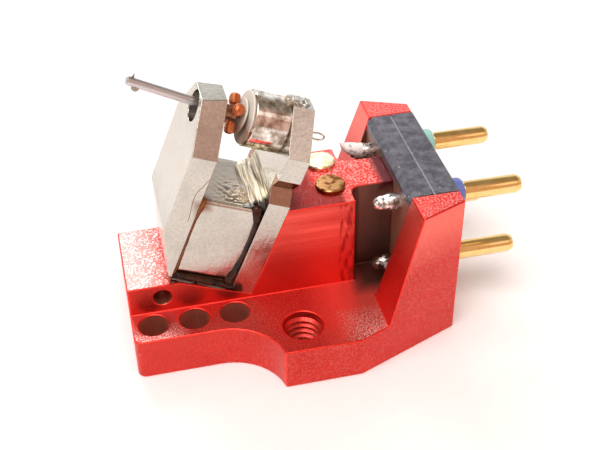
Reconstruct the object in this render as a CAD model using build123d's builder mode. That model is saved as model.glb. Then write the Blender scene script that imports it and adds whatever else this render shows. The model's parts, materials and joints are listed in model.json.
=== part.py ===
"""Bare moving-coil phono cartridge, lying on its mounting face with the stylus up.

Millimetres, +X to the contact pins, +Y across, +Z up from the mounting face.
The origin lies on the mounting face, midway between the two mounting screws.
"""
import os
from math import acos, cos, radians, sin, tan

from build123d import *

os.makedirs("parts", exist_ok=True)

# Mounting plate
screw_span = 12.7  # standard distance between the two mounting screws
screw_d = 2.5
plate_t = 2.9
nose_x = 10.35  # reach of the plate in front of the screws
nose_w = 11.2
nose_corner_r = 0.5
ear_w = 17.1
ear_front_x = 1.6
ear_rear_x = 3.25
flank_r = 3.6  # hollow arc from each side of the nose out to the ear's corner
tail_x = 10.2  # reach of the body behind the screws
tail_w = 11.5

# Drilled holes in the plate and rib
well_d = 1.85
well_depth = 2.2
well_pitch = 2.55
well_first_x = 9.0
well_y = 4.15
cross_hole_d = 1.15
cross_hole_x = 8.2
cross_hole_z = 4.0

# Rib, spine, web and cheeks, milled from the same block as the plate
rib_w = 6.0
rib_top = 4.95
spine_top = 9.25
spine_rear_x = 4.2
web_w = 2.9
pocket_r = 0.7
cheek_top = 10.2
cheek_foot_x = 5.15
cheek_front_x = 7.2

# Terminal block and contact pins
block_w = 9.3
block_front_x = 7.05
block_chamfer = 0.35
groove_x = 8.65
groove_w = 0.12
groove_depth = 0.08
pin_d = 1.2
pin_shank_d = 0.7  # inside the collar, the block and the solder
pin_pitch_y = 5.84
pin_pitch_z = 4.8
pin_drop = 1.43  # depth of the upper pins below the block's top
pin_reach = 4.85  # length of each pin behind the block
pin_tip_r = 0.45
tail_reach = 1.2  # length of each soldered tail in front of the block
solder_d = 1.1
solder_foot_d = 0.92
solder_reach = 1.75
solder_tip_r = 0.12
collar_d = 1.8
collar_t = 0.94
collar_edge = 0.2
slip = 0.02  # radial clearance of pieces that are pushed together

# Magnetic motor, set out from the pole axis at the rear yoke's front face
motor_x = 0.2
motor_z = 13.55
motor_tilt = 22.5
yoke_w = 6.0
yoke_t = 1.4
magnet_depth = 4.04  # front yoke's rear face to rear yoke's front face
magnet_h = 5.55
magnet_w = 5.6
magnet_top = 4.55  # depth of the magnet's top below the pole axis
magnet_edge_r = 0.35
magnet_end_chamfer = 0.15
seat_drop = 10.7  # depth of the body's leaning seat below the pole axis
front_yoke_t = 1.56
front_foot_drop = 10.35
front_nose_x = 7.7  # upright cut at the front yoke's foot
front_shoulder_drop = 1.7
front_top = 1.15  # at the middle of the yoke's leaning top
front_top_lean = 10
front_top_w = 2.0
window_d = 1.9
notch_low = 3.82
notch_high = 2.08
notch_depth = 0.7
head_shoulder_drop = 0.5
head_top = 1.8
head_top_w = 1.4

# Pole with its suspension
pole_d = 3.5
pole_len = 2.32
pole_edge = 0.1
stem_d = 2.4
pole_bore_d = 0.8
holder_wall = 0.25
wire_d = 0.12
wire_loop_w = 0.42
wire_loop_len = 1.6
wire_end = 0.08  # reach of the wire in front of the pivot
screw_head_d = 1.0
screw_head_rise = 0.18
screw_slot_w = 0.2
screw_slot_depth = 0.16
damper_rear_d = 3.3
damper_rear_t = 0.12
damper_front_d = 2.2
damper_front_t = 0.12
damper_bore_d = 0.7
damper_edge = 0.05

# Moving system, set out forwards from the pivot along the cantilever
pivot_gap = 0.1  # pivot to each damper disc
cantilever_lift = 5.0  # degrees that the unloaded cantilever rises above the pole axis
coil_gap = 0.09
coil_t = 0.66
coil_w = 0.74
coil_start_r = 0.5
coil_end_r = 1.28
coil_round = 0.26
coil_edge = 0.14
former_t = 0.3
former_arm_w = 0.3
former_arm_r = 1.15
former_hub_d = 1.0
socket_d = 0.9
socket_reach = 1.65
socket_floor = 1.0
joint_pipe_d = 0.34
joint_pipe_wall = 0.09
joint_pipe_start = 0.05
cantilever_d = 0.54
cantilever_reach = 7.32
cantilever_tip_chamfer = 0.08
stylus_reach = 7.02
stylus_d = 0.2
stylus_height = 0.6
glue_drop_d = 0.5
glue_drop_reach = 6.66

# Studs in the spine's top, and glue
stud_x = 3.05
stud_mid_y = 0.3
stud_pitch = 2.6
stud_d = 1.9
stud_head_t = 0.25
stud_shank_d = 1.2
stud_depth = 2.4
stud_edge = 0.07
pad_w = 5.5
fillet_leg = 0.8
fillet_w = 5.0

near = 0.01  # how close a corner must lie to be picked by its place

# Directions of the leaning motor and of the cantilever
tilt = radians(motor_tilt)
lean = radians(motor_tilt + cantilever_lift)
axis_rear = Vector(cos(tilt), 0, -sin(tilt))
axis_up = Vector(sin(tilt), 0, cos(tilt))
motor_origin = Vector(motor_x, 0, motor_z)
motor_axis = Axis(motor_origin, axis_rear)
pivot_reach = -(pole_len + damper_rear_t + pivot_gap)
pivot = motor_origin + axis_rear * pivot_reach
arm_front = Vector(-cos(lean), 0, sin(lean))
arm_up = Vector(sin(lean), 0, cos(lean))
arm_axis = Axis(pivot, arm_front)


def motor_plane(reach, height=0.0):
    """Plane across the pole axis, facing rearwards, at a reach behind the rear yoke's front face."""
    return Plane(motor_origin + axis_rear * reach + axis_up * height, x_dir=(0, 1, 0), z_dir=axis_rear)


def arm_plane(reach, height=0.0):
    """Plane across the cantilever, facing forwards, at a reach in front of the pivot."""
    return Plane(pivot + arm_front * reach + arm_up * height, x_dir=(0, -1, 0), z_dir=arm_front)


def side_point(reach, height):
    """Point of the motor's side view as (x, z)."""
    point = motor_origin + axis_rear * reach + axis_up * height
    return (point.X, point.Z)


def mirrored(points):
    """Closed outline from the points of its right half."""
    return points + [(-x, y) for x, y in reversed(points)]


# Body: plan outline shared by the plate and the cheeks
flank_rise = (ear_w - nose_w) / 2
flank_turn = acos(1 - flank_rise / flank_r)
flank_start = (-ear_front_x - flank_r * sin(flank_turn), nose_w / 2)
flank_middle = (
    flank_start[0] + flank_r * sin(flank_turn / 2),
    flank_start[1] + flank_r * (1 - cos(flank_turn / 2)),
)
ear_corner = (-ear_front_x, ear_w / 2)
nose_corner = (-nose_x, nose_w / 2)
with BuildSketch() as plan:
    with BuildLine():
        Polyline((-nose_x, 0), nose_corner, flank_start)
        ThreePointArc(flank_start, flank_middle, ear_corner)
        Polyline(ear_corner, (ear_rear_x, ear_w / 2), (tail_x, tail_w / 2), (tail_x, 0), (-nose_x, 0))
    make_face()
    fillet(plan.vertices().sort_by_distance(nose_corner)[0], nose_corner_r)
    mirror(about=Plane.XZ)
cheek_side = [
    (cheek_foot_x, plate_t),
    (cheek_front_x, cheek_top),
    (tail_x, cheek_top),
    (tail_x, 0),
    (cheek_foot_x, 0),
]
seat_rear = side_point(yoke_t, -seat_drop)
seat_start_x = seat_rear[0] - (rib_top - seat_rear[1]) / tan(tilt)
spine_front_x = seat_rear[0] + (spine_top - seat_rear[1]) * tan(tilt)
spine_side = [
    (-nose_x, 0),
    (-nose_x, rib_top),
    (seat_start_x, rib_top),
    seat_rear,
    (spine_front_x, spine_top),
    (spine_rear_x, spine_top),
    (spine_rear_x, 0),
]
web_len = block_front_x - spine_rear_x
stud_places = {"near": stud_mid_y - stud_pitch / 2, "far": stud_mid_y + stud_pitch / 2}
with BuildPart() as body:
    with BuildSketch(Plane.XZ):
        Polygon(*cheek_side, align=None)
    extrude(amount=ear_w / 2, both=True)
    with BuildSketch(Plane.XY.offset(plate_t)):
        with Locations((tail_x, 0)):
            Rectangle(2 * tail_x, block_w)
    extrude(amount=cheek_top, mode=Mode.SUBTRACT)
    extrude(plan.sketch, amount=cheek_top, mode=Mode.INTERSECT)
    extrude(plan.sketch, amount=plate_t)
    with BuildSketch(Plane.XZ):
        Polygon(*spine_side, align=None)
    extrude(amount=rib_w / 2, both=True)
    with BuildSketch():
        with Locations((spine_rear_x + web_len / 2, 0)):
            Rectangle(web_len, web_w)
    extrude(amount=spine_top)
    upright_edges = body.edges().filter_by(Axis.Z)
    rear_edges = upright_edges.filter_by_position(Axis.X, spine_rear_x - near, spine_rear_x + near)
    fillet(rear_edges.filter_by_position(Axis.Y, -web_w / 2 - near, web_w / 2 + near), pocket_r)
    with Locations((0, screw_span / 2, plate_t), (0, -screw_span / 2, plate_t)):
        Hole(screw_d / 2, plate_t)
    wells = [(-well_first_x + i * well_pitch, side * well_y, plate_t) for side in (1, -1) for i in range(3)]
    with Locations(*wells):
        Hole(well_d / 2, well_depth)
    with BuildSketch(Plane.XZ):
        with Locations((-cross_hole_x, cross_hole_z)):
            Circle(cross_hole_d / 2)
    extrude(amount=rib_w, both=True, mode=Mode.SUBTRACT)
    with Locations(*[(stud_x, stud_y, spine_top) for stud_y in stud_places.values()]):
        Hole(stud_shank_d / 2 + slip, stud_depth + slip)
body.part.label = "body"
export_step(body.part, "parts/body.step")

# Terminal block: moulded, with a chamfered front edge, a parting groove and four pin bores
pin_high_z = cheek_top - pin_drop
pin_low_z = pin_high_z - pin_pitch_z
pin_places = {
    "left_hot": (pin_pitch_y / 2, pin_high_z),
    "left_return": (-pin_pitch_y / 2, pin_high_z),
    "right_hot": (pin_pitch_y / 2, pin_low_z),
    "right_return": (-pin_pitch_y / 2, pin_low_z),
}
block_side = [
    (block_front_x, plate_t),
    (block_front_x, cheek_top - block_chamfer),
    (block_front_x + block_chamfer, cheek_top),
    (tail_x, cheek_top),
    (tail_x, plate_t),
]
with BuildPart() as terminal_block:
    with BuildSketch(Plane.XZ):
        Polygon(*block_side, align=None)
    extrude(amount=block_w / 2 - slip, both=True)
    with BuildSketch(Plane.XY.offset(cheek_top - groove_depth)):
        with Locations((groove_x, 0)):
            Rectangle(groove_w, block_w)
    extrude(amount=groove_depth, mode=Mode.SUBTRACT)
    with BuildSketch(Plane.YZ.offset(block_front_x)):
        with Locations(*pin_places.values()):
            Circle(pin_shank_d / 2 + slip)
    extrude(amount=tail_x - block_front_x, mode=Mode.SUBTRACT)
terminal_block.part.label = "terminal_block"
export_step(terminal_block.part, "parts/terminal_block.step")

# Contact pins, turned, each with a collar behind the block and a soldered tail in front of it
pin_shoulder_x = tail_x + collar_t
pin_tip_x = tail_x + pin_reach
pin_tip_core = pin_d / 2 - pin_tip_r
shank_bore_r = pin_shank_d / 2 + slip
pin_profile = [
    (block_front_x - tail_reach, 0),
    (block_front_x - tail_reach, pin_shank_d / 2),
    (pin_shoulder_x, pin_shank_d / 2),
    (pin_shoulder_x, pin_d / 2),
    (pin_tip_x - pin_tip_r, pin_d / 2),
    (pin_tip_x - pin_tip_r * (1 - sin(radians(45))), pin_tip_core + pin_tip_r * cos(radians(45))),
    (pin_tip_x, pin_tip_core),
    (pin_tip_x, 0),
]
solder_profile = [
    (block_front_x, shank_bore_r),
    (block_front_x, solder_foot_d / 2),
    (block_front_x - solder_reach / 3, solder_d / 2),
    (block_front_x - solder_reach * 2 / 3, solder_foot_d / 2),
    (block_front_x - solder_reach, solder_tip_r),
    (block_front_x - solder_reach, 0),
    (block_front_x - tail_reach - slip, 0),
    (block_front_x - tail_reach - slip, shank_bore_r),
]
for place, (pin_y, pin_z) in pin_places.items():
    turning_plane = Plane((0, pin_y, pin_z), x_dir=(1, 0, 0), z_dir=(0, -1, 0))
    turning_axis = Axis((0, pin_y, pin_z), (1, 0, 0))
    with BuildPart() as pin:
        with BuildSketch(turning_plane):
            Polygon(*pin_profile, align=None)
        revolve(axis=turning_axis)
    pin.part.label = f"pin_{place}"
    export_step(pin.part, f"parts/pin_{place}.step")

    with BuildPart() as collar:
        with BuildSketch(Plane.YZ.offset(tail_x)):
            with Locations((pin_y, pin_z)):
                Circle(collar_d / 2)
                Circle(shank_bore_r, mode=Mode.SUBTRACT)
        extrude(amount=collar_t)
        collar_rim = collar.edges().group_by(Axis.X)[-1].sort_by(SortBy.RADIUS)[-1]
        chamfer(collar_rim, collar_edge)
    collar.part.label = f"collar_{place}"
    export_step(collar.part, f"parts/collar_{place}.step")

    with BuildPart() as solder:
        with BuildSketch(turning_plane):
            Polygon(*solder_profile, align=None)
        revolve(axis=turning_axis)
    solder.part.label = f"solder_{place}"
    export_step(solder.part, f"parts/solder_{place}.step")

# Front yoke: plate with a tapered, leaning top, a window for the cantilever and an upright cut at its foot
front_rear_reach = -magnet_depth
front_face_reach = front_rear_reach - front_yoke_t
front_rise = tan(radians(front_top_lean)) * front_yoke_t / 2
front_slope = (yoke_w - front_top_w) / 2 / (front_top + front_shoulder_drop)
front_outline = mirrored([
    (yoke_w / 2, -front_foot_drop),
    (yoke_w / 2, -front_shoulder_drop),
    (front_top_w / 2 - front_slope * front_rise, front_top + front_rise),
])
top_cut_side = [
    side_point(front_face_reach, front_top - front_rise),
    side_point(front_rear_reach, front_top + front_rise),
    side_point(front_face_reach, front_top + front_rise),
]
with BuildPart() as front_yoke:
    with BuildSketch(motor_plane(front_rear_reach)):
        Polygon(*front_outline, align=None)
        Circle(window_d / 2, mode=Mode.SUBTRACT)
    extrude(amount=-front_yoke_t)
    with BuildSketch(Plane.YZ.offset(-front_nose_x)):
        Rectangle(2 * yoke_w, 4 * front_foot_drop)
    foot_cut_depth = front_yoke_t / cos(tilt) + front_foot_drop * sin(tilt)
    extrude(amount=-foot_cut_depth, mode=Mode.SUBTRACT)
    with BuildSketch(Plane.XZ):
        Polygon(*top_cut_side, align=None)
    extrude(amount=front_top_w, both=True, mode=Mode.SUBTRACT)
front_yoke.part.label = "front_yoke"
export_step(front_yoke.part, "parts/front_yoke.step")

# Magnet: plated block with rounded edges
with BuildPart() as magnet:
    with BuildSketch(motor_plane(front_rear_reach, -magnet_top - magnet_h / 2)):
        Rectangle(magnet_w, magnet_h)
    extrude(amount=magnet_depth)
    fillet(magnet.edges().filter_by(motor_axis), magnet_edge_r)
    magnet_ends = magnet.faces().filter_by(motor_axis)
    chamfer(magnet_ends.edges(), magnet_end_chamfer)
magnet.part.label = "magnet"
export_step(magnet.part, "parts/magnet.step")

# Rear yoke: foot, notched neck and head, bored for the pole's stem and tapped for the set screw
rear_outline = mirrored([
    (yoke_w / 2, -seat_drop),
    (yoke_w / 2, -notch_low),
    (yoke_w / 2 - notch_depth, -(notch_low + notch_high) / 2),
    (yoke_w / 2, -notch_high),
    (yoke_w / 2, -head_shoulder_drop),
    (head_top_w / 2, head_top),
])
screw_plane = Plane(
    motor_origin + axis_rear * (yoke_t / 2) + axis_up * head_top, x_dir=(0, 1, 0), z_dir=axis_up
)
with BuildPart() as rear_yoke:
    with BuildSketch(motor_plane(0)):
        Polygon(*rear_outline, align=None)
        Circle(stem_d / 2 + slip, mode=Mode.SUBTRACT)
    extrude(amount=yoke_t)
    with BuildSketch(screw_plane):
        Circle(screw_head_d / 2 + slip)
    extrude(amount=-head_top, mode=Mode.SUBTRACT)
rear_yoke.part.label = "rear_yoke"
export_step(rear_yoke.part, "parts/rear_yoke.step")

# Pole: turned cylinder with broken rims, a stem through the yoke and a bore for the wire holder
with BuildPart() as pole:
    with BuildSketch(motor_plane(0)):
        Circle(pole_d / 2)
    extrude(amount=-pole_len)
    chamfer(pole.edges().filter_by(GeomType.CIRCLE), pole_edge)
    with BuildSketch(motor_plane(0)):
        Circle(stem_d / 2)
    extrude(amount=yoke_t)
    with BuildSketch(motor_plane(yoke_t)):
        Circle(pole_bore_d / 2)
    extrude(amount=-yoke_t - pole_len, mode=Mode.SUBTRACT)
    with BuildSketch(screw_plane):
        Circle(screw_head_d / 2 + slip)
    extrude(amount=-head_top, mode=Mode.SUBTRACT)
pole.part.label = "pole"
export_step(pole.part, "parts/pole.step")

# Set screw: slotted grub screw that presses on the wire holder
screw_len = head_top - pole_bore_d / 2 + slip + screw_head_rise
with BuildPart() as set_screw:
    with BuildSketch(screw_plane.offset(screw_head_rise)):
        Circle(screw_head_d / 2)
    extrude(amount=-screw_len + slip)
    with BuildSketch(screw_plane.offset(screw_head_rise)):
        Rectangle(2 * screw_head_d, screw_slot_w)
    extrude(amount=-screw_slot_depth, mode=Mode.SUBTRACT)
set_screw.part.label = "set_screw"
export_step(set_screw.part, "parts/set_screw.step")

# Wire holder: tube in the pole's bore that grips the suspension wire
holder_d = pole_bore_d - 2 * slip
with BuildPart() as wire_holder:
    with BuildSketch(motor_plane(yoke_t)):
        Circle(holder_d / 2)
        Circle(holder_d / 2 - holder_wall, mode=Mode.SUBTRACT)
    extrude(amount=-yoke_t - pole_len)
wire_holder.part.label = "wire_holder"
export_step(wire_holder.part, "parts/wire_holder.step")

# Suspension wire: from the pivot back through the pole, bent to a small loop behind the yoke
loop_start = motor_origin + axis_rear * yoke_t
loop_bend = wire_loop_w / 4
loop_top = loop_start + axis_rear * (wire_loop_len - loop_bend)
loop_low = loop_top - axis_up * wire_loop_w
wire_start = pivot - axis_rear * wire_end
wire_points = [
    wire_start,
    loop_top,
    loop_top + axis_rear * loop_bend - axis_up * loop_bend,
    loop_low + axis_rear * loop_bend + axis_up * loop_bend,
    loop_low,
    loop_start - axis_up * wire_loop_w,
]
with BuildPart() as suspension_wire:
    with BuildLine() as wire_path:
        Polyline(*wire_points)
    with BuildSketch(Plane(wire_start, x_dir=(0, 1, 0), z_dir=axis_rear)):
        Circle(wire_d / 2)
    sweep(path=wire_path.wires()[0], transition=Transition.RIGHT)
suspension_wire.part.label = "suspension_wire"
export_step(suspension_wire.part, "parts/suspension_wire.step")

# Damper: a fixed rubber disc on the pole's face and a free one that leans with the coil former
with BuildPart() as damper_rear:
    with BuildSketch(motor_plane(-pole_len)):
        Circle(damper_rear_d / 2)
        Circle(damper_bore_d / 2, mode=Mode.SUBTRACT)
    extrude(amount=-damper_rear_t)
    free_rim = damper_rear.edges().sort_by(motor_axis)[:2].sort_by(SortBy.RADIUS)[-1]
    chamfer(free_rim, damper_edge)
damper_rear.part.label = "damper_rear"
export_step(damper_rear.part, "parts/damper_rear.step")

with BuildPart() as damper_front:
    with BuildSketch(arm_plane(pivot_gap)):
        Circle(damper_front_d / 2)
        Circle(damper_bore_d / 2, mode=Mode.SUBTRACT)
    extrude(amount=damper_front_t)
    free_rim = damper_front.edges().sort_by(arm_axis)[-2:].sort_by(SortBy.RADIUS)[-1]
    chamfer(free_rim, damper_edge)
damper_front.part.label = "damper_front"
export_step(damper_front.part, "parts/damper_front.step")

# Coil former: cross of four arms with a socket for the cantilever
coil_start = pivot_gap + damper_front_t + coil_gap
former_start = coil_start + (coil_t - former_t) / 2
with BuildPart() as coil_former:
    with BuildSketch(arm_plane(former_start)):
        Circle(former_hub_d / 2)
        with PolarLocations(0, 2, start_angle=45, angular_range=180):
            Rectangle(2 * former_arm_r, former_arm_w)
    extrude(amount=former_t)
    with BuildSketch(arm_plane(former_start)):
        Circle(socket_d / 2)
    extrude(amount=socket_reach - former_start)
    with BuildSketch(arm_plane(socket_floor)):
        Circle(cantilever_d / 2 + slip)
    extrude(amount=socket_reach - socket_floor, mode=Mode.SUBTRACT)
    with BuildSketch(arm_plane(former_start)):
        Circle(joint_pipe_d / 2 + slip)
    extrude(amount=socket_floor - former_start, mode=Mode.SUBTRACT)
coil_former.part.label = "coil_former"
export_step(coil_former.part, "parts/coil_former.step")

# Joint pipe: tube at the former's centre, open to the end of the suspension wire
with BuildPart() as joint_pipe:
    with BuildSketch(arm_plane(joint_pipe_start)):
        Circle(joint_pipe_d / 2)
        Circle(joint_pipe_d / 2 - joint_pipe_wall, mode=Mode.SUBTRACT)
    extrude(amount=socket_floor - joint_pipe_start)
joint_pipe.part.label = "joint_pipe"
export_step(joint_pipe.part, "parts/joint_pipe.step")

# Coils: each channel is wound on two opposite arms of the former
coil_mid = arm_plane(coil_start + coil_t / 2)
arm_side = Vector(0, -1, 0)
for channel, channel_angle in (("left", 45), ("right", 135)):
    with BuildPart() as coil:
        for angle in (channel_angle, channel_angle + 180):
            outward = arm_side * cos(radians(angle)) + arm_up * sin(radians(angle))
            lobe_plane = Plane(coil_mid.origin + outward * coil_start_r, x_dir=arm_front, z_dir=outward)
            with BuildSketch(lobe_plane):
                RectangleRounded(coil_t, coil_w, coil_round)
            extrude(amount=coil_end_r - coil_start_r)
            lobe_end = coil.faces().sort_by(Axis(coil_mid.origin, outward))[-1]
            chamfer(lobe_end.edges(), coil_edge)
            with BuildSketch(lobe_plane):
                Rectangle(former_t + 2 * slip, former_arm_w + 2 * slip)
            extrude(amount=former_arm_r + slip - coil_start_r, mode=Mode.SUBTRACT)
    coil.part.label = f"coil_{channel}"
    export_step(coil.part, f"parts/coil_{channel}.step")

# Cantilever: rod with a rounded tip, cross-drilled for the stylus
stylus_plane = Plane(pivot + arm_front * stylus_reach, x_dir=arm_front, z_dir=arm_up)
with BuildPart() as cantilever:
    with BuildSketch(arm_plane(socket_floor)):
        Circle(cantilever_d / 2)
    extrude(amount=cantilever_reach - socket_floor)
    tip_edge = cantilever.edges().sort_by(arm_axis)[-1]
    chamfer(tip_edge, cantilever_tip_chamfer)
    with BuildSketch(stylus_plane):
        Circle(stylus_d / 2)
    extrude(amount=cantilever_d, both=True, mode=Mode.SUBTRACT)
cantilever.part.label = "cantilever"
export_step(cantilever.part, "parts/cantilever.step")

# Stylus: diamond with a round shank through the cantilever and a conical tip
stylus_fit_d = stylus_d - slip
stylus_side = Plane(stylus_plane.origin, x_dir=arm_front, z_dir=arm_up.cross(arm_front) * -1)
with BuildPart() as stylus:
    with BuildSketch(stylus_side):
        with BuildLine():
            Polyline(
                (0, -cantilever_d / 2),
                (stylus_fit_d / 2, -cantilever_d / 2),
                (stylus_fit_d / 2, cantilever_d / 2),
                (0, stylus_height),
                close=True,
            )
        make_face()
    revolve(axis=Axis(stylus_plane.origin, arm_up))
stylus.part.label = "stylus"
export_step(stylus.part, "parts/stylus.step")

# Drop of glue under the cantilever's tip
glue_point = pivot + arm_front * glue_drop_reach - arm_up * (cantilever_d / 2)
with BuildPart() as stylus_glue:
    with Locations(glue_point):
        Sphere(glue_drop_d / 2)
    with BuildSketch(arm_plane(socket_floor)):
        Circle(cantilever_d / 2)
    extrude(amount=cantilever_reach - socket_floor, mode=Mode.SUBTRACT)
stylus_glue.part.label = "stylus_glue"
export_step(stylus_glue.part, "parts/stylus_glue.step")

# Glue pad that beds the magnet and the front yoke's foot on the body's leaning seat
foot_toe_reach = (front_foot_drop * sin(tilt) - front_nose_x - motor_x) / cos(tilt)
magnet_bottom = magnet_top + magnet_h
pad_side = [
    side_point(0, -seat_drop),
    side_point(0, -magnet_bottom),
    side_point(front_rear_reach, -magnet_bottom),
    side_point(front_rear_reach, -front_foot_drop),
    side_point(foot_toe_reach, -front_foot_drop),
    (-front_nose_x, rib_top),
    (seat_start_x, rib_top),
]
with BuildPart() as adhesive_pad:
    with BuildSketch(Plane.XZ):
        Polygon(*pad_side, align=None)
    extrude(amount=pad_w / 2, both=True)
adhesive_pad.part.label = "adhesive_pad"
export_step(adhesive_pad.part, "parts/adhesive_pad.step")

# Hollow fillet of clear glue in the corner between the magnet's top and the rear yoke
fillet_sag = 0.36 * fillet_leg
with BuildPart() as adhesive_fillet:
    with BuildSketch(Plane.XZ):
        with BuildLine():
            fillet_toe = side_point(-fillet_leg, -magnet_top)
            fillet_middle = side_point(-fillet_sag, fillet_sag - magnet_top)
            fillet_head = side_point(0, fillet_leg - magnet_top)
            ThreePointArc(fillet_toe, fillet_middle, fillet_head)
            Polyline(fillet_head, side_point(0, -magnet_top), fillet_toe)
        make_face()
    extrude(amount=fillet_w / 2, both=True)
adhesive_fillet.part.label = "adhesive_fillet"
export_step(adhesive_fillet.part, "parts/adhesive_fillet.step")

# Studs: headed gold-plated studs pressed into the spine's top
for side_name, stud_y in stud_places.items():
    with BuildPart() as stud:
        with BuildSketch(Plane.XY.offset(spine_top)):
            with Locations((stud_x, stud_y)):
                Circle(stud_d / 2)
        extrude(amount=stud_head_t)
        chamfer(stud.edges().group_by(Axis.Z)[-1], stud_edge)
        with BuildSketch(Plane.XY.offset(spine_top)):
            with Locations((stud_x, stud_y)):
                Circle(stud_shank_d / 2)
        extrude(amount=-stud_depth)
    stud.part.label = f"stud_{side_name}"
    export_step(stud.part, f"parts/stud_{side_name}.step")
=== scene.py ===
"""Looks of a bare moving-coil phono cartridge, lying on its mounting face with the stylus up."""

import json
import math

import bmesh
import bpy
import numpy as np
from mathutils import Matrix, Vector

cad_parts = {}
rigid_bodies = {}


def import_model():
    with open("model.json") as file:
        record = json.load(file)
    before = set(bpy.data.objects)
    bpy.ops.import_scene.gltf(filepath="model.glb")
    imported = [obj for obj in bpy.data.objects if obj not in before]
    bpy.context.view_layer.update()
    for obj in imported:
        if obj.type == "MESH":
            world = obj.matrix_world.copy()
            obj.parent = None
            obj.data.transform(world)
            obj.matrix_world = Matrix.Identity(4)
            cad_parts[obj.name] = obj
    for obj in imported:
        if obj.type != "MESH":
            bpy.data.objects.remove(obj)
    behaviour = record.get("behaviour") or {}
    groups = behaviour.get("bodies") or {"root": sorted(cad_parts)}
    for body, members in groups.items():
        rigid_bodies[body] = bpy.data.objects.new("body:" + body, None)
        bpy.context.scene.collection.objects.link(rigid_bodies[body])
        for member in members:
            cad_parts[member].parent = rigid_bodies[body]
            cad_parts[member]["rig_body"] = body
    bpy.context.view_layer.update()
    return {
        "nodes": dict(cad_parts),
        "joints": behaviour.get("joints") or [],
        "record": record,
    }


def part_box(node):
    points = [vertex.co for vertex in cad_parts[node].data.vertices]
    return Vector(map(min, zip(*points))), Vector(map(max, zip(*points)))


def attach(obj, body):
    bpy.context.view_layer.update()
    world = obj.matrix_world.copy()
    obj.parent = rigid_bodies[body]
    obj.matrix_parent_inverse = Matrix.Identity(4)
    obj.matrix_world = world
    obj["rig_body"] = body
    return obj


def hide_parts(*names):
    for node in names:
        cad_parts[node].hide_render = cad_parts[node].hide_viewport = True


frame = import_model()

# Body: one block of aluminium milled to a plate with a rib, spine, web and two cheeks.
# It is bead blasted and dyed red while it is anodised, and every edge is lightly broken.
MM = 0.001
nodes = frame["nodes"]


def linear(code):
    """sRGB hex colour as linear RGBA: the standard sRGB curve on each channel, with full alpha."""
    channels = np.array([int(code[i:i + 2], 16) for i in (1, 3, 5)]) / 255
    opened = np.where(channels <= 0.04045, channels / 12.92, ((channels + 0.055) / 1.055) ** 2.4)
    return (*opened.tolist(), 1.0)


def add(tree, kind, inputs=None, **settings):
    """Adds one node: settings are its own properties, inputs give each socket a value or an output to link.

    In a colour Mix, input 0 is the factor, 6 and 7 are the two colours, and output 2 is the result.
    """
    node = tree.nodes.new(kind)
    for name, value in settings.items():
        setattr(node, name, value)
    for socket, value in (inputs or {}).items():
        if isinstance(value, bpy.types.NodeSocket):
            tree.links.new(value, node.inputs[socket])
        else:
            node.inputs[socket].default_value = value
    return node


def new_finish(name, **sockets):
    """New material with the given shader sockets; gives it back with its tree, shader and coordinates."""
    finish = bpy.data.materials.new(name)
    finish.use_nodes = True
    tree = finish.node_tree
    shader = tree.nodes["Principled BSDF"]
    for socket, value in sockets.items():
        shader.inputs[socket.replace("_", " ")].default_value = value
    place = add(tree, "ShaderNodeTexCoord").outputs["Object"]
    return finish, tree, shader, place


def per(size):
    """Pattern scale that repeats every `size` millimetres in Object coordinates, which are metres."""
    return 1 / (size * MM)


def eased(name, edge, finish, segments=2, edge_finish=None):
    """Copy of a CAD node that stands for it: points merged, flats joined, edges rounded `edge` mm."""
    merging = 0.0005 * MM
    flat_angle = math.radians(0.5)
    sharp_angle = math.radians(30)
    node = nodes[name]
    mesh = node.data.copy()
    mesh.name = name + "_finished"
    for layer in ("custom_normal", "sharp_edge", "sharp_face"):
        if layer in mesh.attributes:
            mesh.attributes.remove(mesh.attributes[layer])
    shape = bmesh.new()
    shape.from_mesh(mesh)
    bmesh.ops.remove_doubles(shape, verts=shape.verts, dist=merging)
    bmesh.ops.dissolve_limit(shape, angle_limit=flat_angle, verts=shape.verts, edges=shape.edges)
    shape.to_mesh(mesh)
    shape.free()
    mesh.polygons.foreach_set("use_smooth", [True] * len(mesh.polygons))
    mesh.set_sharp_from_angle(angle=sharp_angle)
    mesh.materials.clear()
    mesh.materials.append(finish)
    piece = bpy.data.objects.new(name + "_finished", mesh)
    bpy.context.scene.collection.objects.link(piece)
    if edge:
        rounding = piece.modifiers.new("edges", "BEVEL")
        rounding.width = edge * MM
        rounding.segments = segments
        rounding.limit_method = "ANGLE"
        rounding.angle_limit = sharp_angle
        rounding.harden_normals = True
        if edge_finish:
            mesh.materials.append(edge_finish)
            rounding.material = 1
    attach(piece, node["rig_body"])
    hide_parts(name)
    return piece


def within(tree, place, low, high, soft=0.05):
    """Mask of a box fixed to the piece, corners in millimetres: 1 inside, fading to 0 over `soft` outside."""
    middle = (np.array(low) + high) / 2
    half = (np.array(high) - low) / 2
    offset = add(tree, "ShaderNodeVectorMath", {0: place, 1: (middle * MM).tolist()}, operation="SUBTRACT")
    away = add(tree, "ShaderNodeVectorMath", {0: offset.outputs[0]}, operation="ABSOLUTE")
    over = add(
        tree, "ShaderNodeVectorMath", {0: away.outputs[0], 1: (half * MM).tolist()}, operation="SUBTRACT"
    )
    sides = add(tree, "ShaderNodeSeparateXYZ", {"Vector": over.outputs[0]})
    flat = add(tree, "ShaderNodeMath", {0: sides.outputs["X"], 1: sides.outputs["Y"]}, operation="MAXIMUM")
    worst = add(tree, "ShaderNodeMath", {0: flat.outputs[0], 1: sides.outputs["Z"]}, operation="MAXIMUM")
    mask = add(
        tree,
        "ShaderNodeMapRange",
        {"Value": worst.outputs[0], "From Min": 0.0, "From Max": soft * MM, "To Min": 1.0, "To Max": 0.0},
    )
    return mask.outputs["Result"]


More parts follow.
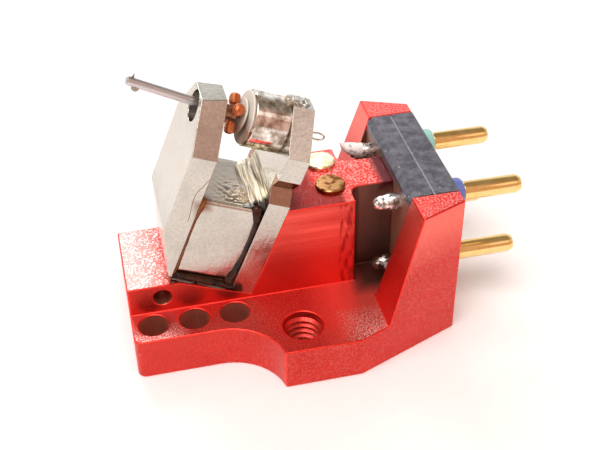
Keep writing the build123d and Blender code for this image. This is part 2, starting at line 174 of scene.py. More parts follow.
# Dyed anodised aluminium: a red metal under a clear oxide whose blasted facets glint on the tops, where pale
# glints are also painted.
# The dye is browner in the drilled holes, and painted shade darkens the well floors and the pockets beside
# the web.
anodised, tree, shader, place = new_finish(
    "red anodised aluminium", Metallic=0.9, Coat_Roughness=0.08, Coat_IOR=1.55
)
grit = add(
    tree, "ShaderNodeTexNoise", {"Vector": place, "Scale": per(0.1), "Detail": 1.0, "Roughness": 0.5}
)
clouds = add(tree, "ShaderNodeTexNoise", {"Vector": place, "Scale": per(1.6), "Detail": 4.0})
body_colour = add(
    tree,
    "ShaderNodeMix",
    {0: clouds.outputs["Fac"], 6: linear("#C8322A"), 7: linear("#DC4238")},
    data_type="RGBA",
)
# Pale glints are painted on grains of faces that look up, most of all on the nose and the plate's outer
# corners.
# Each of these places is a box: two corners and a soft edge, in millimetres.
surface = add(tree, "ShaderNodeNewGeometry")
facing = add(tree, "ShaderNodeSeparateXYZ", {"Vector": surface.outputs["True Normal"]})
upwards = add(tree, "ShaderNodeMapRange", {"Value": facing.outputs["Z"], "From Min": 0.8, "From Max": 0.97})
glints = add(tree, "ShaderNodeMapRange", {"Value": grit.outputs["Fac"], "From Min": 0.5, "From Max": 0.6})
level = add(tree, "ShaderNodeSeparateXYZ", {"Vector": place})
lofty = add(
    tree,
    "ShaderNodeMapRange",
    {"Value": level.outputs["Z"], "From Min": 3.2 * MM, "From Max": 4.6 * MM, "To Min": 0.08, "To Max": 0.5},
)
bright = lofty
brightest = {
    "nose": ((-10.4, -3.1, 4.5), (-6.6, 3.1, 5.2), 0.8),
    "near corner": ((-10.4, -5.7, 2.8), (-8.0, -5.1, 3.0), 1.3),
    "far corner": ((-10.4, 5.1, 2.8), (-8.0, 5.7, 3.0), 1.3),
    "near ear": ((3.4, -8.4, 2.8), (6.2, -6.8, 3.0), 1.5),
    "far ear": ((3.4, 6.8, 2.8), (6.2, 8.4, 3.0), 1.5),
}
for low, high, soft in brightest.values():
    spot = within(tree, place, low, high, soft)
    bright = add(tree, "ShaderNodeMath", {0: bright.outputs[0], 1: spot}, operation="MAXIMUM")
painted_glints = add(
    tree, "ShaderNodeMath", {0: upwards.outputs["Result"], 1: glints.outputs["Result"]}, operation="MULTIPLY"
)
painted_glints = add(tree, "ShaderNodeMath", {0: painted_glints.outputs[0], 1: bright.outputs[0]}, operation="MULTIPLY")
# Pale drawn streaks run along the spine's sides, laid strongest high up as painted sheen, and dark waves
# stand at its rear corner.
rolled = add(tree, "ShaderNodeMapping", {"Vector": place, "Scale": (0.05, 1.0, 1.0)})
rolling = add(
    tree, "ShaderNodeTexNoise", {"Vector": rolled.outputs["Vector"], "Scale": per(0.5), "Detail": 3.0}
)
pale_lines = add(
    tree,
    "ShaderNodeMapRange",
    {"Value": rolling.outputs["Fac"], "From Min": 0.3, "From Max": 0.7, "To Min": 0.1, "To Max": 1.0},
)
spine_sides = within(tree, place, (-1.5, -3.1, 7.6), (4.3, 3.1, 8.6), 2.4)
streaks_and_sheen = add(
    tree, "ShaderNodeMath", {0: pale_lines.outputs["Result"], 1: spine_sides}, operation="MULTIPLY"
)
upended = add(tree, "ShaderNodeMapping", {"Vector": place, "Scale": (1.0, 1.0, 0.3)})
waves = add(
    tree, "ShaderNodeTexNoise", {"Vector": upended.outputs["Vector"], "Scale": per(0.3), "Detail": 2.0}
)
dark_waves = add(
    tree,
    "ShaderNodeMapRange",
    {"Value": waves.outputs["Fac"], "From Min": 0.4, "From Max": 0.56, "To Min": 0.9, "To Max": 0.0},
)
spine_corner = within(tree, place, (3.3, -3.1, 3.0), (4.3, 3.1, 9.1), 0.25)
waved = add(
    tree, "ShaderNodeMath", {0: dark_waves.outputs["Result"], 1: spine_corner}, operation="MULTIPLY"
)
# Dark flecks lie between the grains. Painted light makes the tail's top and the cheeks' flanks paler, and the
# lit high tops are painted a purer red.
fleck = add(
    tree,
    "ShaderNodeMapRange",
    {"Value": grit.outputs["Fac"], "From Min": 0.3, "From Max": 0.5, "To Min": 0.3, "To Max": 0.0},
)
tail = within(tree, place, (2.6, -7.6, 2.5), (6.2, 7.6, 3.0), 2.0)
tail_painted_light = add(tree, "ShaderNodeMath", {0: tail, 1: upwards.outputs["Result"]}, operation="MULTIPLY")
# Painted sheen: the cheeks' upper flanks and slants are mixed paler.
cheek_heads = within(tree, place, (7.0, -8.6, 9.2), (12.0, 8.6, 10.6), 3.0)
upright = add(tree, "ShaderNodeMath", {0: 1.0, 1: upwards.outputs["Result"]}, operation="SUBTRACT")
painted_flank_sheen = add(tree, "ShaderNodeMath", {0: cheek_heads, 1: upright.outputs[0]}, operation="MULTIPLY")
# Painted light: the lit high tops are given a purer red than the sides of the same metal.
deep_tops = add(
    tree,
    "ShaderNodeMapRange",
    {"Value": level.outputs["Z"], "From Min": 8.8 * MM, "From Max": 9.2 * MM, "To Min": 0.0, "To Max": 0.8},
)
painted_lit_tops = add(
    tree,
    "ShaderNodeMath",
    {0: deep_tops.outputs["Result"], 1: upwards.outputs["Result"]},
    operation="MULTIPLY",
)
# A painted highlight makes the nose's end paler, and a painted dark reflection of the yoke lies round the
# near stud.
nose_end = within(tree, place, (-10.4, -3.1, 4.5), (-9.4, 3.1, 5.2), 2.6)
nose_glare_mask = add(
    tree, "ShaderNodeMath", {0: nose_end, 1: upwards.outputs["Result"]}, operation="MULTIPLY"
)
painted_nose_glare = add(tree, "ShaderNodeMath", {0: nose_glare_mask.outputs[0], 1: 0.28}, operation="MULTIPLY")
painted_glints = add(
    tree, "ShaderNodeMath", {0: painted_glints.outputs[0], 1: painted_nose_glare.outputs[0]}, operation="MAXIMUM"
)
# Painted reflection: a dark maroon patch stands for the yoke mirrored in the spine's top round the near stud.
yoke_reflection_patch = within(tree, place, (0.2, -3.1, 9.0), (1.8, 1.4, 9.6), 0.8)
stud_reflection_patch = within(tree, place, (0.2, -3.1, 9.0), (3.4, -0.9, 9.6), 0.6)
painted_reflection_spread = add(tree, "ShaderNodeMath", {0: yoke_reflection_patch, 1: stud_reflection_patch}, operation="MAXIMUM")
painted_reflection_top = add(
    tree, "ShaderNodeMath", {0: painted_reflection_spread.outputs[0], 1: upwards.outputs["Result"]}, operation="MULTIPLY"
)
# The drilled holes are toned browner, and painted shade darkens the well floors, the pockets, their floors
# and the web's end: two corners, a soft edge and a tone for each.
hollow_tones_and_shade = {
    "wells": ((-10.1, -5.2, 0.3), (-2.85, 5.2, 2.8), 0.05, "#F0A890"),
    "well floors": ((-9.95, -5.08, 0.3), (-2.95, 5.08, 0.8), 0.35, "#6A1E18"),
    "cross hole": ((-8.9, -2.93, 3.3), (-7.5, 2.93, 4.7), 0.05, "#D0806C"),
    "pockets": ((4.3, -4.7, 3.0), (7.2, 4.7, 9.18), 0.05, "#987468"),
    "pocket floors": ((4.9, -3.4, 2.5), (7.5, 3.4, 3.0), 1.2, "#6E4036"),
    "web's end": ((6.5, -1.6, 9.1), (7.2, 1.6, 9.4), 0.6, "#6A2A30"),
}
# These overlays mix the body's own marks with painted light: glints, sheen, lit tops and a painted
# reflection.
overlays = [
    (streaks_and_sheen.outputs[0], "#FF6E60"),
    (waved.outputs[0], "#A4141A"),
    (fleck.outputs[0], "#A01C16"),
    (tail_painted_light.outputs[0], "#FF6458"),
    (painted_flank_sheen.outputs[0], "#F27062"),
    (painted_lit_tops.outputs[0], "#FF3428"),
    (painted_glints.outputs[0], "#FFE4E0"),
    (painted_reflection_top.outputs[0], "#94201A"),
]
for low, high, soft, mark_tone in hollow_tones_and_shade.values():
    overlays.append((within(tree, place, low, high, soft), mark_tone))
for mask, tone in overlays:
    body_colour = add(tree, "ShaderNodeMix", {0: mask, 6: body_colour.outputs[2], 7: linear(tone)}, data_type="RGBA")
oxide = add(tree, "ShaderNodeMath", {0: glints.outputs["Result"], 1: 0.7}, operation="MULTIPLY")
matt = add(
    tree,
    "ShaderNodeMapRange",
    {"Value": grit.outputs["Fac"], "From Min": 0.3, "From Max": 0.7, "To Min": 0.34, "To Max": 0.5},
)
dimples = add(
    tree, "ShaderNodeBump", {"Height": grit.outputs["Fac"], "Strength": 0.5, "Distance": 0.018 * MM}
)
facets = add(
    tree, "ShaderNodeBump", {"Height": grit.outputs["Fac"], "Strength": 1.0, "Distance": 0.035 * MM}
)
tree.links.new(body_colour.outputs[2], shader.inputs["Base Color"])
tree.links.new(matt.outputs["Result"], shader.inputs["Roughness"])
tree.links.new(dimples.outputs["Normal"], shader.inputs["Normal"])
tree.links.new(oxide.outputs[0], shader.inputs["Coat Weight"])
tree.links.new(facets.outputs["Normal"], shader.inputs["Coat Normal"])

# Painted edge highlight: the broken edges are a brighter and purer red than the faces.
# It has the same hollow tones and painted shade as the faces.
edge_highlight_paint, tree, shader, place = new_finish("red anodised edge with painted highlight", Metallic=0.9, Roughness=0.3)
edge_mottle = add(tree, "ShaderNodeTexNoise", {"Vector": place, "Scale": per(0.3), "Detail": 3.0})
edge_highlight_tone = add(
    tree,
    "ShaderNodeMix",
    {0: edge_mottle.outputs["Fac"], 6: linear("#E0241C"), 7: linear("#FF5448")},
    data_type="RGBA",
)
for low, high, soft, mark_tone in hollow_tones_and_shade.values():
    edge_highlight_tone = add(
        tree,
        "ShaderNodeMix",
        {0: within(tree, place, low, high, soft), 6: edge_highlight_tone.outputs[2], 7: linear(mark_tone)},
        data_type="RGBA",
    )
tree.links.new(edge_highlight_tone.outputs[2], shader.inputs["Base Color"])
eased("body", 0.1, anodised, edge_finish=edge_highlight_paint)

# Screw threads: the two mounting holes are tapped for the headshell's screws.
# Each thread is a helical ridge inside its hole, cut in the same red aluminium.
screws = next(mount for mount in frame["record"]["mounts"] if mount["kind"] == "bolt_pattern")
hole_r = screws["dims"]["hole_r_mm"]
hole_y = screws["dims"]["spacing_y_mm"] / 2
thread_pitch = 0.45
thread_depth = 0.2
thread_low = 0.3
thread_high = 2.6
thread_steps = 48


def skin(name, rings, finish, body_name, stands_for=(), sharp=40):
    """Closed piece over rings of points in millimetres: each joins the next, and the end ones close flat."""
    count, around, _ = rings.shape
    index = np.arange(count * around).reshape(count, around)
    beside = np.roll(index, -1, axis=1)
    sides = np.stack([index[:-1], beside[:-1], beside[1:], index[1:]], axis=-1).reshape(-1, 4)
    faces = sides.tolist() + [index[0, ::-1].tolist(), index[-1].tolist()]
    mesh = bpy.data.meshes.new(name)
    mesh.from_pydata((rings.reshape(-1, 3) * MM).tolist(), [], faces)
    shape = bmesh.new()
    shape.from_mesh(mesh)
    bmesh.ops.recalc_face_normals(shape, faces=shape.faces)
    shape.to_mesh(mesh)
    shape.free()
    mesh.polygons.foreach_set("use_smooth", [True] * len(mesh.polygons))
    mesh.set_sharp_from_angle(angle=math.radians(sharp))
    mesh.materials.append(finish)
    piece = bpy.data.objects.new(name, mesh)
    bpy.context.scene.collection.objects.link(piece)
    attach(piece, body_name)
    if stands_for:
        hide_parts(*stands_for)
    return piece


def thread_rings(centre_y):
    """Rings along a helix of the given pitch: each is a four-cornered ridge whose height fades in and out."""
    turns = (thread_high - thread_low) / thread_pitch
    along = np.linspace(0, 1, int(turns * thread_steps))[:, None]
    angle = along * turns * 2 * np.pi
    fade = np.clip(np.minimum(along, 1 - along) * turns * 3, 0.05, 1)
    corner_in = np.array([[-0.03, 1.0, 1.0, -0.03]]) * thread_depth
    corner_up = np.array([[-0.46, -0.1, 0.1, 0.46]]) * thread_pitch
    radius = hole_r - corner_in * fade
    x = radius * np.cos(angle)
    y = centre_y + radius * np.sin(angle)
    z = thread_low + along * (thread_high - thread_low) + corner_up * fade
    return np.stack([x, y, z], axis=-1)


for hole_side, centre_y in (("near", -hole_y), ("far", hole_y)):
    helix = thread_rings(centre_y)
    skin(f"screw_thread_{hole_side}", helix, anodised, "cartridge", (), sharp=20)

# Terminal block: a moulding of blue-black plastic between the cheeks that carries the four contacts.
# Its skin is rough and cloudy, with a pale worn parting groove across the top and a little dust.
slate, tree, shader, place = new_finish("blue-black moulded plastic", Roughness=0.36, IOR=1.5)
mottle = add(
    tree, "ShaderNodeTexNoise", {"Vector": place, "Scale": per(0.55), "Detail": 5.0, "Roughness": 0.6}
)
fine = add(tree, "ShaderNodeTexNoise", {"Vector": place, "Scale": per(0.16), "Detail": 3.0})
dust = add(tree, "ShaderNodeTexVoronoi", {"Vector": place, "Scale": per(0.9)})
cloudy = add(
    tree, "ShaderNodeMapRange", {"Value": mottle.outputs["Fac"], "From Min": 0.38, "From Max": 0.68}
)
speck = add(
    tree,
    "ShaderNodeMapRange",
    {"Value": dust.outputs["Distance"], "From Min": 0.06, "From Max": 0.1, "To Min": 0.6, "To Max": 0.0},
)
groove = within(tree, place, (8.62, -4.7, 10.0), (8.68, 4.7, 10.4))
scraped = add(tree, "ShaderNodeMath", {0: groove, 1: fine.outputs["Fac"]}, operation="MULTIPLY")
skin_tone = add(
    tree,
    "ShaderNodeMix",
    {0: cloudy.outputs["Result"], 6: linear("#3C3D48"), 7: linear("#6A6B77")},
    data_type="RGBA",
)
dusted = add(
    tree,
    "ShaderNodeMix",
    {0: speck.outputs["Result"], 6: skin_tone.outputs[2], 7: linear("#B9B4AE")},
    data_type="RGBA",
)
grooved = add(
    tree,
    "ShaderNodeMix",
    {0: scraped.outputs[0], 6: dusted.outputs[2], 7: linear("#C4C5CA")},
    data_type="RGBA",
)
# Painted shade: the block's front face inside the pockets is darkened brown.
block_pocket_shade = within(tree, place, (6.9, -4.8, 2.8), (7.2, 4.8, 9.3), 0.2)
grooved = add(
    tree, "ShaderNodeMix", {0: block_pocket_shade, 6: grooved.outputs[2], 7: linear("#8A5E4E")}, data_type="RGBA"
)
lumpy = add(
    tree, "ShaderNodeBump", {"Height": mottle.outputs["Fac"], "Strength": 0.5, "Distance": 0.06 * MM}
)
pimples = add(
    tree,
    "ShaderNodeBump",
    {"Height": fine.outputs["Fac"], "Strength": 0.35, "Distance": 0.02 * MM,
     "Normal": lumpy.outputs["Normal"]},
)
tree.links.new(grooved.outputs[2], shader.inputs["Base Color"])
tree.links.new(pimples.outputs["Normal"], shader.inputs["Normal"])
eased("terminal_block", 0.08, slate)

# Contact pins: turned brass, plated with polished gold, pressed through the terminal block.
# Each wears a moulded collar whose colour names its channel. The gold is a warm mirror with a light haze.
gold_tones = ("#F0C46A", "#FFE4A8")

def tinted(tree, shader, place, size, tones, detail=3.0, span=(0.0, 1.0), rough=None):
    """Tints a finish between two tones by noise of `size` millimetres, and gives the noise back.

    The tones change over the `span` of the noise, and a roughness given as two values over its usual range.
    """
    noise = add(tree, "ShaderNodeTexNoise", {"Vector": place, "Scale": per(size), "Detail": detail})
    amount = noise.outputs["Fac"]
    share = add(tree, "ShaderNodeMapRange", {"Value": amount, "From Min": span[0], "From Max": span[1]})
    inputs = {0: share.outputs["Result"], 6: linear(tones[0]), 7: linear(tones[1])}
    tone = add(tree, "ShaderNodeMix", inputs, data_type="RGBA")
    tree.links.new(tone.outputs[2], shader.inputs["Base Color"])
    if rough:
        limits = {"From Min": 0.3, "From Max": 0.7, "To Min": rough[0], "To Max": rough[1]}
        matt = add(tree, "ShaderNodeMapRange", {"Value": amount, **limits})
        tree.links.new(matt.outputs["Result"], shader.inputs["Roughness"])
    return amount


gold, tree, shader, place = new_finish("polished gold plate", Metallic=1.0)
tinted(tree, shader, place, 0.5, gold_tones, rough=(0.1, 0.22))

# Collar plastics: satin, with a faint drift of tint.
collar_tones = {
    "left_hot": ("green collar plastic", "#86C2B6", "#A4D8CD"),
    "left_return": ("blue collar plastic", "#5566AE", "#7484C4"),
    "right_hot": ("red collar plastic", "#A82528", "#C23A3A"),
    "right_return": ("white collar plastic", "#DADADA", "#EFEFEC"),
}
for contact, (collar_name, deep, pale) in collar_tones.items():
    collar, tree, shader, place = new_finish(collar_name, Roughness=0.32, IOR=1.5)
    tinted(tree, shader, place, 0.6, (deep, pale))
    eased("collar_" + contact, 0.12, collar, segments=3)
    eased("pin_" + contact, 0.04, gold)

# Soldered tails: each contact's inner end is tinned with a drop of bright solder.
# The drop has set lens shaped, with a few soft lumps and dull grey spots in its mirror.
drop_steps = 28
drop_around = 40
tube_around = 16
tin, tree, shader, place = new_finish("bright solder", Metallic=0.82)
frost = add(tree, "ShaderNodeTexNoise", {"Vector": place, "Scale": per(0.3), "Detail": 4.0})
frosted = add(
    tree,
    "ShaderNodeMapRange",
    {"Value": frost.outputs["Fac"], "From Min": 0.35, "From Max": 0.7, "To Min": 0.14, "To Max": 0.34},
)
spotted = add(
    tree, "ShaderNodeMapRange", {"Value": frost.outputs["Fac"], "From Min": 0.42, "From Max": 0.58}
)
tin_tone = add(
    tree,
    "ShaderNodeMix",
    {0: spotted.outputs["Result"], 6: linear("#86807C"), 7: linear("#FCFCFA")},
    data_type="RGBA",
)
wrinkle = add(
    tree, "ShaderNodeBump", {"Height": frost.outputs["Fac"], "Strength": 0.7, "Distance": 0.09 * MM}
)
tree.links.new(tin_tone.outputs[2], shader.inputs["Base Color"])
tree.links.new(frosted.outputs["Result"], shader.inputs["Roughness"])
tree.links.new(wrinkle.outputs["Normal"], shader.inputs["Normal"])


def solder_rings(low, high, phase):
    """Rings from the drop's foot to its tip: the radius swells, then closes, with lumps of three waves."""
    middle = (low + high) / 2
    along = np.linspace(0, 1, drop_steps)[:, None]
    angle = np.linspace(0, 2 * np.pi, drop_around, endpoint=False)[None, :]
    girth = (high[1] - low[1]) / 2
    swell = 0.84 + 0.16 * np.sin(np.pi * np.minimum(along / 0.62, 1))
    taper = np.sqrt(np.clip(1 - np.clip((along - 0.35) / 0.66, 0, 1) ** 2.2, 0, 1))
    lumps = 1 + 0.05 * np.sin(3 * angle + 5 * along + phase) * np.sin(np.pi * along)
    radius = girth * np.minimum(swell, taper + 0.02) * lumps * 0.98
    x = high[0] - along * (high[0] - low[0]) + 0 * angle
    y = middle[1] + radius * np.cos(angle)
    z = middle[2] + radius * np.sin(angle)
    return np.stack([x, y, z], axis=-1)


def curve(points, count):
    """Smooth curve through the given points, whatever their columns: a Catmull-Rom cubic in each span."""
    points = np.array(points, dtype=float)
    knots = np.vstack([2 * points[0] - points[1], points, 2 * points[-1] - points[-2]])
    run = np.linspace(0, len(points) - 1, count)
    span = np.minimum(run.astype(int), len(points) - 2)
    step = (run - span)[:, None]
    a, b, c, d = (knots[span + k] for k in range(4))
    square = step**2 * (2 * a - 5 * b + 4 * c - d)
    cube = step**3 * (3 * b - a - 3 * c + d)
    return b + (step * (c - a) + square + cube) / 2


def tube_rings(track, beside):
    """Rings along a track of (x, y, z, radius): circles of points, square to its run."""
    run = np.gradient(track[:, :3], axis=0)
    run /= np.linalg.norm(run, axis=1, keepdims=True)
    first = np.cross(run, beside)
    first /= np.linalg.norm(first, axis=1, keepdims=True)
    second = np.cross(run, first)
    angle = np.linspace(0, 2 * np.pi, tube_around, endpoint=False)[None, :, None]
    spokes = np.cos(angle) * first[:, None] + np.sin(angle) * second[:, None]
    return track[:, None, :3] + track[:, None, 3:] * spokes


# Solder flake: a white, chipped splash that stands on the far upper tail, through points (x, y, z, radius).
strand_steps = 24
strand = [
    (6.2, 2.92, 8.94, 0.44), (5.7, 2.92, 9.02, 0.46), (5.25, 2.93, 9.2, 0.38), (4.95, 2.94, 9.42, 0.22),
    (4.7, 2.95, 9.7, 0.04),
]
frozen, tree, shader, place = new_finish("frosted solder flake", Metallic=0.1, Roughness=0.3)
flakes = tinted(tree, shader, place, 0.25, ("#A09C98", "#FFFFFF"), span=(0.3, 0.46))
chipped = add(tree, "ShaderNodeBump", {"Height": flakes, "Strength": 0.6, "Distance": 0.08 * MM})
tree.links.new(chipped.outputs["Normal"], shader.inputs["Normal"])
strand_rings = tube_rings(curve(strand, strand_steps), (0, 1, 0))
skin("solder_strand", strand_rings, frozen, "cartridge")

# Fluxed solder on the lower tails: mostly dark brown, with bright bare spots.
stained_tin, tree, shader, place = new_finish("solder under brown flux", Metallic=0.6, Roughness=0.24)
tinted(tree, shader, place, 0.45, ("#4A342A", "#F4F2EE"), span=(0.56, 0.62))
for order, contact in enumerate(collar_tones):
    node_name = "solder_" + contact
    low, high = (np.array(corner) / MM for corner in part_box(node_name))
    coat = stained_tin if contact.startswith("right") else tin
    skin(node_name + "_drop", solder_rings(low, high, 1.7 * order), coat, "cartridge", (node_name,))

# Glue bed: brown adhesive squeezed out under the magnet and the front yoke's foot.
# It has cured glossy and nearly black where it is thick, and stands in wavy beads along the joints.
# Its lip at the front is thin enough to show the red below.
brown, tree, shader, place = new_finish("cured brown adhesive", Roughness=0.1, IOR=1.36)
flow = add(tree, "ShaderNodeTexNoise", {"Vector": place, "Scale": per(0.7), "Detail": 3.0})
thickness = add(
    tree, "ShaderNodeMapRange", {"Value": flow.outputs["Fac"], "From Min": 0.42, "From Max": 0.7}
)
thickness_tone = add(
    tree,
    "ShaderNodeMix",
    {0: thickness.outputs["Result"], 6: linear("#1A0B06"), 7: linear("#44200F")},
    data_type="RGBA",
)
pad_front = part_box("adhesive_pad")[0][0] / MM
front_lip = within(tree, place, (pad_front - 0.1, -2.8, 4.0), (pad_front + 0.06, 2.8, 6.5), 0.1)
thickness_tone = add(
    tree,
    "ShaderNodeMix",
    {0: front_lip, 6: thickness_tone.outputs[2], 7: linear("#D84438")},
    data_type="RGBA",
)
ripples = add(
    tree, "ShaderNodeBump", {"Height": flow.outputs["Fac"], "Strength": 0.25, "Distance": 0.06 * MM}
)
tree.links.new(thickness_tone.outputs[2], shader.inputs["Base Color"])
tree.links.new(ripples.outputs["Normal"], shader.inputs["Normal"])
eased("adhesive_pad", 0.08, brown)

# Thin glue in the front joint and the crack: amber brown, half dull.
thin_brown, tree, shader, place = new_finish("thin amber-brown adhesive", Roughness=0.2, IOR=1.45)
tinted(tree, shader, place, 0.9, ("#2E1406", "#96581A"))
bead_steps = 90
motor_tilt = math.radians(22.5)
motor_start = np.array([0.2, 0.0, 13.55])
axis_rear = np.array([math.cos(motor_tilt), 0.0, -math.sin(motor_tilt)])
axis_up = np.array([math.sin(motor_tilt), 0.0, math.cos(motor_tilt)])


def in_motor(reach, height, out):
    """Points of the motor: so far rearwards, upwards and sideways in its tilted directions from its start."""
    rearwards = reach[..., None] * axis_rear
    return motor_start + rearwards + height[..., None] * axis_up + out[..., None] * (0, 1, 0)


# Beads through points (rearwards, upwards, sideways, radius) of the motor, in millimetres.
glue_beads = {
    "rear_joint": [
        (-0.4, -4.35, 2.1, 0.2), (-0.4, -4.6, 2.54, 0.36), (-0.3, -4.95, 2.74, 0.3),
        (-0.16, -5.7, 2.86, 0.16), (-0.12, -7.6, 2.86, 0.13), (-0.2, -9.2, 2.82, 0.24),
        (-0.3, -10.0, 2.76, 0.36), (-0.2, -10.5, 2.7, 0.12),
    ],
    "front_joint": [
        (-3.9, -4.4, 2.5, 0.08), (-3.9, -4.75, 2.78, 0.24), (-3.96, -6.0, 2.82, 0.13),
        (-3.96, -8.0, 2.82, 0.13), (-3.96, -9.8, 2.82, 0.16), (-4.0, -10.25, 2.75, 0.05),
    ],
    "seam": [
        (-4.1, -2.95, 2.99, 0.015), (-4.31, -3.51, 2.99, 0.025), (-4.52, -3.99, 2.99, 0.02),
        (-4.55, -4.66, 2.99, 0.025), (-4.48, -5.23, 2.99, 0.02), (-4.41, -5.82, 2.99, 0.025),
        (-4.44, -6.2, 2.98, 0.015),
    ],
    "foot": [
        (-4.15, -10.3, 2.72, 0.06), (-3.5, -10.28, 2.76, 0.2), (-2.6, -10.34, 2.8, 0.17),
        (-1.7, -10.36, 2.78, 0.25), (-0.8, -10.42, 2.8, 0.22), (0.1, -10.5, 2.82, 0.28),
        (0.5, -10.56, 2.86, 0.05),
    ],
}
for bead_name, points in glue_beads.items():
    sides = {"near": -1} if bead_name == "seam" else {"near": -1, "far": 1}
    for side_name, side in sides.items():
        laid = points[2:] if side_name == "far" else points
        reach, height, out, radius = curve(laid, bead_steps).T
        wave = 1 + 0.05 * np.sin(np.arange(bead_steps) * 0.7 + 2 * side)
        track = np.column_stack([in_motor(reach, height, side * out), radius * wave])
        bead_rings = tube_rings(track, (0.6, 0.8, 0.0))
        glue = thin_brown if bead_name in ("front_joint", "seam") else brown
        skin(f"glue_{bead_name}_{side_name}", bead_rings, glue, "cartridge", sharp=80)

# Yokes and magnet: soft-iron plates and a sintered block, all satin nickel plated and glued up.
# The plating is brushed and knocked, with a few pits, and tarnished brown by the glue, and painted shade
# browns the notches.
nickel, tree, shader, place = new_finish("satin nickel plate", Metallic=1.0)
grain = add(
    tree, "ShaderNodeTexNoise", {"Vector": place, "Scale": per(0.16), "Detail": 4.0, "Roughness": 0.6}
)
uneven = add(tree, "ShaderNodeTexNoise", {"Vector": place, "Scale": per(1.6), "Detail": 3.0})
satin = add(
    tree,
    "ShaderNodeMapRange",
    {"Value": uneven.outputs["Fac"], "From Min": 0.3, "From Max": 0.7, "To Min": 0.14, "To Max": 0.26},
)
nickel_tone = add(
    tree,
    "ShaderNodeMix",
    {0: uneven.outputs["Fac"], 6: linear("#BCB8AE"), 7: linear("#E2E0D8")},
    data_type="RGBA",
)
ground_in = add(
    tree,
    "ShaderNodeMapRange",
    {"Value": grain.outputs["Fac"], "From Min": 0.3, "From Max": 0.6, "To Min": 0.3, "To Max": 0.0},
)
nickel_tone = add(
    tree,
    "ShaderNodeMix",
    {0: ground_in.outputs["Result"], 6: nickel_tone.outputs[2], 7: linear("#8E877C")},
    data_type="RGBA",
)
pitted = add(tree, "ShaderNodeTexVoronoi", {"Vector": place, "Scale": per(1.3)})
pits = add(
    tree,
    "ShaderNodeMapRange",
    {"Value": pitted.outputs["Distance"], "From Min": 0.03, "From Max": 0.06, "To Min": 0.5, "To Max": 0.0},
)
nickel_tone = add(
    tree,
    "ShaderNodeMix",
    {0: pits.outputs["Result"], 6: nickel_tone.outputs[2], 7: linear("#6E665C")},
    data_type="RGBA",
)
# The notches' brown is painted shade; the magnet's corner is a glue stain.
tarnish_and_shade = {
    "near notch": ((-1.4, -2.97, 9.5), (0.8, -2.2, 11.6), 0.02, "#A07C68"),
    "far notch": ((-1.4, 2.2, 9.5), (0.8, 2.97, 11.6), 0.02, "#A07C68"),
    "magnet's corner": ((-5.4, -3.1, 10.3), (-5.0, -2.4, 10.6), 0.5, "#94705C"),
}
for low, high, soft, mark_tone in tarnish_and_shade.values():
    nickel_tone = add(
        tree,
        "ShaderNodeMix",
        {0: within(tree, place, low, high, soft), 6: nickel_tone.outputs[2], 7: linear(mark_tone)},
        data_type="RGBA",
    )
brush_way = add(
    tree,
    "ShaderNodeMapping",
    {"Vector": place, "Rotation": (0, motor_tilt, 0), "Scale": (1.0, 1.0, 12.0)},
    vector_type="TEXTURE",
)
brush = add(
    tree, "ShaderNodeTexNoise", {"Vector": brush_way.outputs["Vector"], "Scale": per(0.2), "Detail": 2.0}
)
brushed = add(
    tree, "ShaderNodeBump", {"Height": brush.outputs["Fac"], "Strength": 0.5, "Distance": 0.012 * MM}
)
knocks = add(tree, "ShaderNodeTexNoise", {"Vector": place, "Scale": per(0.5), "Detail": 2.0})
dented = add(
    tree,
    "ShaderNodeBump",
    {"Height": knocks.outputs["Fac"], "Strength": 0.5, "Distance": 0.02 * MM,
     "Normal": brushed.outputs["Normal"]},
)
pores = add(
    tree,
    "ShaderNodeBump",
    {"Height": grain.outputs["Fac"], "Strength": 0.4, "Distance": 0.014 * MM,
     "Normal": dented.outputs["Normal"]},
)
tree.links.new(nickel_tone.outputs[2], shader.inputs["Base Color"])
tree.links.new(satin.outputs["Result"], shader.inputs["Roughness"])
tree.links.new(pores.outputs["Normal"], shader.inputs["Normal"])
eased("front_yoke", 0.06, nickel)
eased("magnet", 0.05, nickel)
eased("rear_yoke", 0.06, nickel)

# Clear glue: amber adhesive run into the corner above the magnet and dragged out in ridges while it set.
# A thin crumpled film of it lies over the magnet's top, and dabs of it lock the set screw and the pole.
amber, tree, shader, place = new_finish(
    "clear amber adhesive", Roughness=0.12, IOR=1.5, Coat_Weight=0.5
)
streaks = add(tree, "ShaderNodeMapping", {"Vector": place, "Scale": (1.0, 0.06, 1.0)})
strands = add(
    tree, "ShaderNodeTexNoise", {"Vector": streaks.outputs["Vector"], "Scale": per(0.16), "Detail": 2.0}
)
# Pale and dark lines run along the drawn strands: partly the glue's own streaks, partly painted highlight and
# shade on its ridges.
lines = add(
    tree, "ShaderNodeMapRange", {"Value": strands.outputs["Fac"], "From Min": 0.38, "From Max": 0.55}
)
amber_tone = add(
    tree,
    "ShaderNodeMix",
    {0: lines.outputs["Result"], 6: linear("#6E5420"), 7: linear("#FFF4D0")},
    data_type="RGBA",
)
near_end = within(tree, place, (-5.0, -3.2, 7.0), (2.0, -2.45, 12.0), 0.35)
amber_tone = add(
    tree, "ShaderNodeMix", {0: near_end, 6: amber_tone.outputs[2], 7: linear("#24170C")}, data_type="RGBA"
)
drawn = add(
    tree, "ShaderNodeBump", {"Height": strands.outputs["Fac"], "Strength": 0.6, "Distance": 0.08 * MM}
)
tree.links.new(amber_tone.outputs[2], shader.inputs["Base Color"])
tree.links.new(drawn.outputs["Normal"], shader.inputs["Normal"])
magnet_top = 4.55
fillet_leg = 0.8
ridge_count = 4.5
ridge_rise = 0.05
ribbon_near = -2.66
ribbon_far = 2.48
ribbon_steps = 60
ribbon_around = 64
film_front = -3.9
film_rear = -0.4
film_half = 2.45
film_fade = 0.3
film_steps = 90
film_across = 110
dab_steps = 24
dab_around = 36


